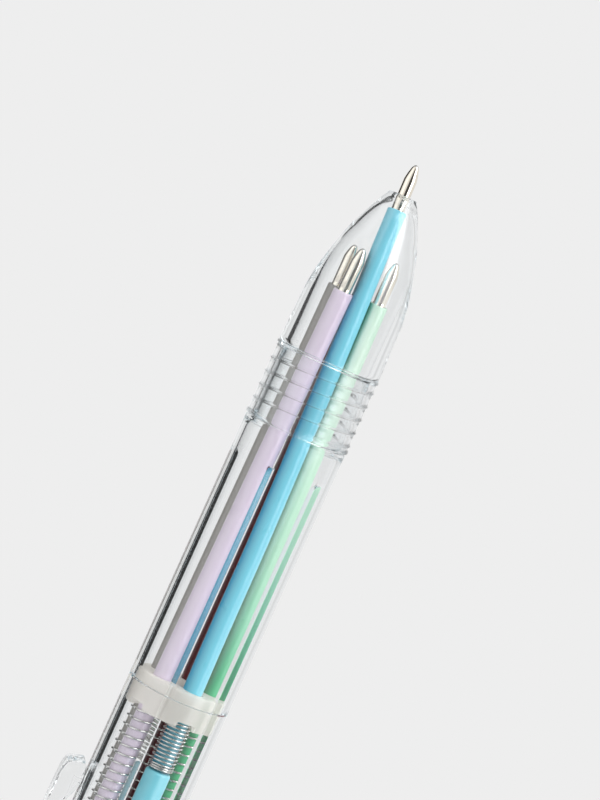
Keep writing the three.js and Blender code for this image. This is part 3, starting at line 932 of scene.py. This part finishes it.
# The other rows: z, near reach, far reach, half width, squareness (2 is an ellipse)
BAR_ROWS = [
    (-13.6, SLIDER_R - 1.55, SLIDER_R + 1.55, 1.55, 2.1),
    (-14.0, SLIDER_R - 1.3, SLIDER_R + 1.3, 1.35, 2.6),
    (-14.4, 3.02, 5.12, 1.12, 5), (-16.0, 3.0, 5.1, 1.10, 6), (-20.4, 3.0, 5.1, 1.10, 6),
    (-20.9, 3.0, 5.15, 1.12, 6),
]
BUTTON_FRONT_ROWS = [
    (-21.05, 3.0, 5.6, 1.15, 6), (-21.12, 3.0, 7.1, 1.18, 6), (-21.3, 3.0, 7.62, 1.19, 6),
    (-21.7, 3.0, 8.02, 1.2, 6), (-22.4, 3.0, 8.36, 1.2, 6), (-23.2, 3.0, 8.58, 1.2, 6),
]
BUTTON_REAR_ROWS = [
    (-29.3, 3.0, 8.72, 1.2, 6), (-30.1, 3.0, 8.50, 1.2, 6), (-30.6, 3.0, 8.16, 1.2, 6),
    (-30.9, 3.0, 7.70, 1.19, 6), (-30.98, 3.0, 7.2, 1.18, 6), (-31.05, 3.0, 5.6, 1.15, 6),
]
TAIL_ROWS = [
    (-31.2, 3.0, 5.15, 1.12, 6), (-32.2, 2.95, 5.1, 1.10, 6), (-32.4, 2.42, 5.1, 1.0, 6),
    (-33.3, 2.38, 5.05, 0.95, 6), (-33.75, 2.7, 4.8, 0.8, 5), (-33.8, 3.2, 4.4, 0.4, 4),
]


def slider_rows():
    shoulder = [(-SHOULDER + SHOULDER * math.cos(t) - 0.002, 1.18 + SHOULDER * math.sin(t))
                for t in np.linspace(0, math.pi / 2, 7)]
    plunger = [(z, PLUNGER_R) for z in (-3.0, -8.0, -13.2)]
    rows = [(z, SLIDER_R - radius, SLIDER_R + radius, radius, 2)
            for z, radius in PIN_ROWS + shoulder + plunger]
    grip = []
    for z in np.arange(-24.0, -28.61, -0.15):
        ridge = 0.5 + 0.5 * math.cos(2 * math.pi * (z + 24.0) / GRIP_PITCH)
        grip.append((z, 3.0, 8.50 + 0.26 * ridge ** 0.8, 1.2, 6))
    return rows + BAR_ROWS + BUTTON_FRONT_ROWS + grip + BUTTON_REAR_ROWS + TAIL_ROWS


def superellipse_ring(z, near, far, half, power, count=48):
    angle = np.arange(count) * 2 * math.pi / count
    cos, sin = np.cos(angle), np.sin(angle)
    reach = (near + far) / 2 + (far - near) / 2 * np.sign(cos) * np.abs(cos) ** (2 / power)
    across = half * np.sign(sin) * np.abs(sin) ** (2 / power)
    return np.stack([across, -reach, np.full(count, z)], 1)


def slider(unit):
    front = slider_front(unit)
    rings = [superellipse_ring(front + z, *shape) for z, *shape in slider_rows()]
    obj = turn(make_object(f"slider_body_{unit.name}", *skin(rings), 38.0), unit.az)
    register(obj, SLIDER[unit.name], f"slider_{unit.name}",
             f"{unit.name}_slider")


# ------------------------------------------------------------------ refills
TUBE_R, TUBE_BORE_R = 1.25, 0.90
BOW, BOW_Z, BOW_LENGTH = 0.25, 74.0, 63.0    # sideways bow of the advanced tube

# metal tip, from the axis inside the tube to the seat of the ball: radius, z from the slider
TIP_SHANK = [
    (0, TUBE_END - 3.0), (0.70, TUBE_END - 3.0), (0.84, TUBE_END - 2.8), (0.845, TUBE_END - 0.4),
    (0.845, TUBE_END + 0.25), (0.825, TUBE_END + 0.30), (0.825, TUBE_END + 0.42),
    (0.845, TUBE_END + 0.47), (0.845, 78.4), (0.845, 79.82), (0.838, 79.93), (0.815, 80.06),
]
TIP_CONE = [
    (0.80, 80.14), (0.755, 80.40), (0.695, 80.66), (0.625, 80.92), (0.55, 81.18),
    (0.475, 81.42), (0.405, 81.58),
]
TIP_SEAT = [(0.365, 81.64), (0.352, 81.60), (0.352, 81.3), (0.2, 81.16), (0, 81.12)]


def lean(unit, tilt):
    """Matrix from a frame whose Z runs forward from the slider's face, leaning in towards the
    axis by tilt degrees, to the pen's frame."""
    to_face = Matrix.Translation(Vector((0, -SLIDER_R, slider_front(unit))) * MM)
    return Matrix.Rotation(rad(unit.az), 4, "Z") @ to_face @ Matrix.Rotation(-rad(tilt), 4, "X")


def bow_tube(mesh):
    """The flexible tube keeps a slight bow towards +X."""
    coords = np.empty(len(mesh.vertices) * 3, np.float32)
    mesh.vertices.foreach_get("co", coords)
    coords = coords.reshape(-1, 3)
    along = np.clip((coords[:, 2] / MM - BOW_Z) / BOW_LENGTH, 0, 1)
    ease = np.clip(along / 0.35, 0, 1)
    coords[:, 0] += BOW * MM * np.sin(math.pi * along) * ease * ease * (3 - 2 * ease)
    mesh.vertices.foreach_set("co", coords.ravel())
    mesh.update()


def refill_tube(unit, matrix, body):
    line = fillet([(TUBE_R, 0.14), (TUBE_R, TUBE_END), (TUBE_BORE_R, TUBE_END),
                   (TUBE_BORE_R, 0.14)], [0.10, 0.16, 0.05, 0.05], 4)
    profile = []
    for start, end in zip(line, line[1:] + line[:1]):
        # enough rings along the tube for it to bow
        parts = 32 if abs(end[1] - start[1]) > 40 else 1
        profile += [(start[0] + (end[0] - start[0]) * k / parts,
                     start[1] + (end[1] - start[1]) * k / parts) for k in range(parts)]
    obj = lathe(f"tube_{unit.name}", profile, 64)
    obj.data.transform(matrix)
    if unit.out:
        bow_tube(obj.data)
    register(obj, TUBE[unit.name], f"refill_tube_{unit.name}", body)


def writing_tip(unit, matrix, body):
    profile = TIP_SHANK + smooth_profile(TIP_CONE, 3) + TIP_SEAT
    obj = lathe(f"tip_{unit.name}", profile, 56, 30.0)
    obj.data.transform(matrix)
    register(obj, NICKEL, f"writing_tip_{unit.name}", body)


def writing_ball(unit, matrix, body):
    work = bmesh.new()
    bmesh.ops.create_icosphere(work, subdivisions=3, radius=BALL_R * MM)
    mesh = bpy.data.meshes.new(f"ball_{unit.name}")
    bmesh.ops.translate(work, verts=work.verts, vec=(0, 0, (TIP_END - BALL_R) * MM))
    work.to_mesh(mesh)
    work.free()
    mesh.transform(matrix)
    mesh.shade_smooth()
    obj = link_object(f"ball_{unit.name}", mesh)
    register(obj, BALL, f"writing_ball_{unit.name}", body)


def refill(unit):
    matrix = lean(unit, TILT_OUT if unit.out else unit.tilt_back)
    body = f"{unit.name}_refill"
    refill_tube(unit, matrix, body)
    writing_tip(unit, matrix, body)
    writing_ball(unit, matrix, body)


# ------------------------------------------------------------------ springs
WIRE_R, WIRE_SIDES = 0.128, 8
COIL_TURNS, TURN_STEPS = 21.2, 28
REAR_TURNS, FRONT_TURNS = 2.5, 1.0       # closed turns at the ends
CLOSED_PITCH = 2 * WIRE_R * 1.04


def coil_tilt(unit):
    """Lean that brings the coil's front end to its distance from the axis. Where that isn't
    fixed, it is midway between the tube's two places there, in and out, so that it clears both."""
    front_reach = unit.coil_front
    if front_reach is None:
        length = SPRING_SEAT_Z - SLIDER_Z
        reach_in = SLIDER_R - length * math.sin(rad(unit.tilt_back))
        reach_out = SLIDER_R - (length - TRAVEL) * math.sin(rad(TILT_OUT))
        front_reach = (reach_in + reach_out) / 2
    run = SPRING_SEAT_Z - slider_front(unit)
    return math.degrees(math.asin((SLIDER_R - front_reach) / run))


def spring(unit):
    front = slider_front(unit)
    tilt = coil_tilt(unit)
    length = (SPRING_SEAT_Z - front) / math.cos(rad(tilt))
    count = int(COIL_TURNS * TURN_STEPS) + 1
    turns = np.linspace(0, COIL_TURNS, count)
    active = COIL_TURNS - REAR_TURNS - FRONT_TURNS
    first_z = WIRE_R + 0.03
    open_z0 = first_z + REAR_TURNS * CLOSED_PITCH
    open_z1 = length - WIRE_R - FRONT_TURNS * CLOSED_PITCH
    in_rear, in_front = turns < REAR_TURNS, turns > COIL_TURNS - FRONT_TURNS
    along = (turns - REAR_TURNS) / active
    z = np.where(in_rear, first_z + turns * CLOSED_PITCH,
                 np.where(in_front, open_z1 + (turns - COIL_TURNS + FRONT_TURNS) * CLOSED_PITCH,
                          open_z0 + along * (open_z1 - open_z0)))

    angle = 2 * math.pi * turns + rad(unit.coil_phase)
    centre = np.stack([unit.coil_r * np.cos(angle), unit.coil_r * np.sin(angle), z], 1)
    tangent = np.gradient(centre, axis=0)
    tangent /= np.linalg.norm(tangent, axis=1)[:, None]
    radial = np.stack([np.cos(angle), np.sin(angle), np.zeros(count)], 1)
    binormal = np.cross(tangent, radial)
    around = np.arange(WIRE_SIDES) * 2 * math.pi / WIRE_SIDES
    cos, sin = np.cos(around)[:, None], np.sin(around)[:, None]
    rings = [centre[k] + WIRE_R * (cos * radial[k] + sin * binormal[k]) for k in range(count)]
    verts, faces = skin(rings)

    mesh = bpy.data.meshes.new(f"spring_{unit.name}")
    mesh.from_pydata([tuple(c * MM for c in v) for v in verts], [], faces)
    mesh.update()
    mesh.transform(lean(unit, tilt))
    shade(mesh, 50)
    obj = link_object(f"spring_{unit.name}", mesh)
    register(obj, WIRE, f"return_spring_{unit.name}")
    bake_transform(obj)


for pen_unit in UNITS:
    slider(pen_unit)
    refill(pen_unit)
    spring(pen_unit)


# ------------------------------------------------------------------ floor, in metres
def floor():
    """Pale disc that fades out towards its rim."""
    work = bmesh.new()
    bmesh.ops.create_circle(work, cap_ends=True, segments=96, radius=0.16)
    mesh = bpy.data.meshes.new("floor")
    work.to_mesh(mesh)
    work.free()
    obj = link_object("floor", mesh)
    obj.location.z = -0.0001
    material, tree, output = new_material("floor_pale")
    pale = add_node(tree, "ShaderNodeBsdfDiffuse", {"Color": (0.80, 0.80, 0.80, 1)})
    passing = add_node(tree, "ShaderNodeBsdfTransparent")
    place_on_floor = add_node(tree, "ShaderNodeTexCoord").outputs["Object"]
    distance = add_node(tree, "ShaderNodeVectorMath", {0: place_on_floor}, operation="LENGTH")
    fade = map_range(tree, distance.outputs["Value"], from_min=0.04, from_max=0.155, smooth=True)
    surface = mix_shader(tree, fade, pale, passing)
    feed(tree, output.inputs["Surface"], surface.outputs[0])
    mesh.materials.append(material)


floor()

# ------------------------------------------------------------------ world
BACKGROUND = srgb((238, 238, 238))[0]
# round lights, both in front on the right, one high and one low:
# direction, full inside and gone outside (degrees from it), strength
LAMPS = [
    ((0.50, -0.47, 0.73), 16, 30, 4.2),
    ((0.82, -0.57, 0.22), 10, 24, 3.2),
]
# Stripes have their own azimuth: 0 is straight behind the pen and positive is to the left.
# azimuth, full inside and gone outside (degrees from it), lowest and highest z, strength
BRIGHT_STRIPES = [
    (-140, 12, 26, -0.3, 0.7, 0.25),           # in front on the right
    (125, 14, 30, -0.3, 0.7, 0.45),            # in front on the left
]
DARK_STRIPES = [
    (61.5, 21.0, 25, -0.9, 0.6, 0.97),         # wide, behind on the left
    (-34, 3, 7, -0.6, 0.6, 0.25),              # faint and slim, behind on the right
    (-163, 19, 28, -0.45, 0.8, 0.93),          # beside the camera
    (47, 19, 24, 0.2, 0.62, 0.93),             # behind on the left, upper part
    (45, 17, 23, -0.9, -0.30, 0.93),           # behind on the left, lower part
    (24, 24, 34, 0.52, 0.78, 0.9),             # behind, high up
]
STRIPE_SOFT = 0.07    # fade at a stripe's top and bottom
DARKEST = 0.015


def world():
    """Even studio light with bright and dark areas. The camera sees the plain background."""
    studio = bpy.data.worlds.new("studio")
    bpy.context.scene.world = studio
    tree = empty_tree(studio)
    output = tree.nodes.new("ShaderNodeOutputWorld")
    x, y, z = separate(tree, add_node(tree, "ShaderNodeTexCoord").outputs["Generated"])

    def calc(operation, *values):
        return math_node(tree, operation, *values)

    def lobe(direction, inner, outer):
        """1 within inner degrees of a direction, 0 beyond outer."""
        aim = Vector(direction).normalized()
        dot = calc("ADD", calc("ADD", calc("MULTIPLY", x, aim.x), calc("MULTIPLY", y, aim.y)),
                   calc("MULTIPLY", z, aim.z))
        return map_range(tree, dot, from_min=math.cos(rad(outer)), from_max=math.cos(rad(inner)),
                         smooth=True)

    def stripe(az, inner, outer, z_0, z_1):
        """1 inside a tall strip, 0 outside it."""
        angle = calc("ARCTAN2", calc("MULTIPLY", x, -1.0), y)
        off = calc("ABSOLUTE", calc("SUBTRACT", angle, rad(az)))
        off = calc("MINIMUM", off, calc("SUBTRACT", 2 * math.pi, off))
        sides = map_range(tree, off, from_min=rad(inner), from_max=rad(outer),
                          to_min=1.0, to_max=0.0, smooth=True)
        bottom = map_range(tree, z, from_min=z_0 - STRIPE_SOFT, from_max=z_0, smooth=True)
        top = map_range(tree, z, from_min=z_1, from_max=z_1 + STRIPE_SOFT,
                        to_min=1.0, to_max=0.0, smooth=True)
        return calc("MULTIPLY", calc("MULTIPLY", sides, bottom), top)

    level = BACKGROUND
    for *shape, strength in LAMPS:
        level = calc("ADD", level, calc("MULTIPLY", lobe(*shape), strength))
    for *shape, strength in BRIGHT_STRIPES:
        level = calc("ADD", level, calc("MULTIPLY", stripe(*shape), strength))
    for *shape, strength in DARK_STRIPES:
        kept = calc("SUBTRACT", 1.0, calc("MULTIPLY", stripe(*shape), strength))
        level = calc("MULTIPLY", level, kept)
    level = calc("MAXIMUM", level, DARKEST)
    camera_ray = add_node(tree, "ShaderNodeLightPath").outputs["Is Camera Ray"]
    # a Mix node that mixes numbers has its A and B at 2 and 3
    seen = add_node(tree, "ShaderNodeMix", {0: camera_ray, 2: level, 3: BACKGROUND},
                    data_type="FLOAT")
    light = add_node(tree, "ShaderNodeBackground",
                     {"Color": (1, 1, 1, 1), "Strength": seen.outputs[0]})
    feed(tree, output.inputs["Surface"], light.outputs[0])


world()


# ------------------------------------------------------------------ render settings and camera
def render_settings(scene):
    scene.view_settings.view_transform = "Standard"
    scene.view_settings.look = "None"
    # many bounces, because light crosses several clear walls
    scene.cycles.max_bounces = 80
    scene.cycles.transmission_bounces = 80
    scene.cycles.glossy_bounces = 60
    scene.cycles.diffuse_bounces = 3
    scene.cycles.transparent_max_bounces = 24
    scene.cycles.caustics_reflective = False
    scene.cycles.caustics_refractive = True
    scene.cycles.sample_clamp_indirect = 4.0


CAMERA_DISTANCE, VIEW_WIDTH = 0.367, 0.100       # in metres
CAMERA_ELEVATION, CAMERA_ROLL = 3.9, 24.3        # in degrees
CAMERA_TARGET = (-1.25, 0, 113.49)


def camera(scene):
    """Long lens in front of the pen, aimed at its front half and rolled."""
    data = bpy.data.cameras.new("camera")
    data.sensor_width = 36
    data.lens = 36 * CAMERA_DISTANCE / VIEW_WIDTH
    data.clip_start, data.clip_end = 0.01, 20
    obj = bpy.data.objects.new("camera", data)
    scene.collection.objects.link(obj)
    target = Vector(CAMERA_TARGET) * MM
    elevation = rad(CAMERA_ELEVATION)
    position = target + Vector((0, -math.cos(elevation), math.sin(elevation))) * CAMERA_DISTANCE
    aim = (target - position).to_track_quat("-Z", "Y").to_matrix().to_4x4()
    roll = Matrix.Rotation(rad(CAMERA_ROLL), 4, "Z")
    obj.matrix_world = Matrix.Translation(position) @ aim @ roll
    scene.camera = obj


render_settings(bpy.context.scene)
camera(bpy.context.scene)
